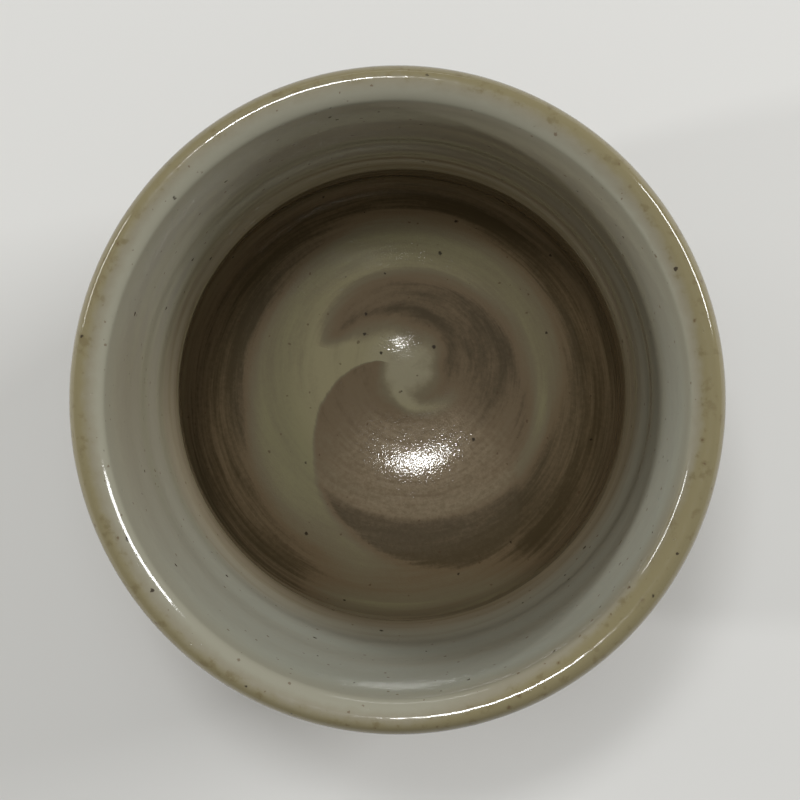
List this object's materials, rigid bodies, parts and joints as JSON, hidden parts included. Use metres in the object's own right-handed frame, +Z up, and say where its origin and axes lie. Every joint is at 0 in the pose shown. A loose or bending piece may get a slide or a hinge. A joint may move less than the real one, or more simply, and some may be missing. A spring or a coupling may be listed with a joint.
{
  "type": "teacup",
  "caption": "Handleless stoneware teacup with a flared mouth, drawn-in waist, brushed white slip inside, olive-grey glaze and a bare trimmed foot ring.",
  "frame": {"origin": "middle of the foot ring's underside, on the surface that the cup stands on", "axes": "+Z up the cup's axis through the mouth; +X and +Y are the right and the top of the reference view, which looks straight down into the cup"},
  "size_m": [0.0812, 0.0827, 0.084],
  "materials": {
    "stoneware": "bare iron-bearing stoneware, sandy and matt",
    "white_slip": "white slip brushed on in streaks, matt under its glaze",
    "inner_glaze": "glossy grey-green glaze over slip, brown where the slip is wiped thin, with iron specks",
    "outer_glaze": "satin olive-grey glaze over bare clay, ochre where it thins at the lip, with iron specks"
  },
  "bodies": {
    "root": {"clay_body": "stoneware", "white_slip": "white_slip", "inner_glaze": "inner_glaze", "outer_glaze": "outer_glaze"}
  },
  "joints": []
}
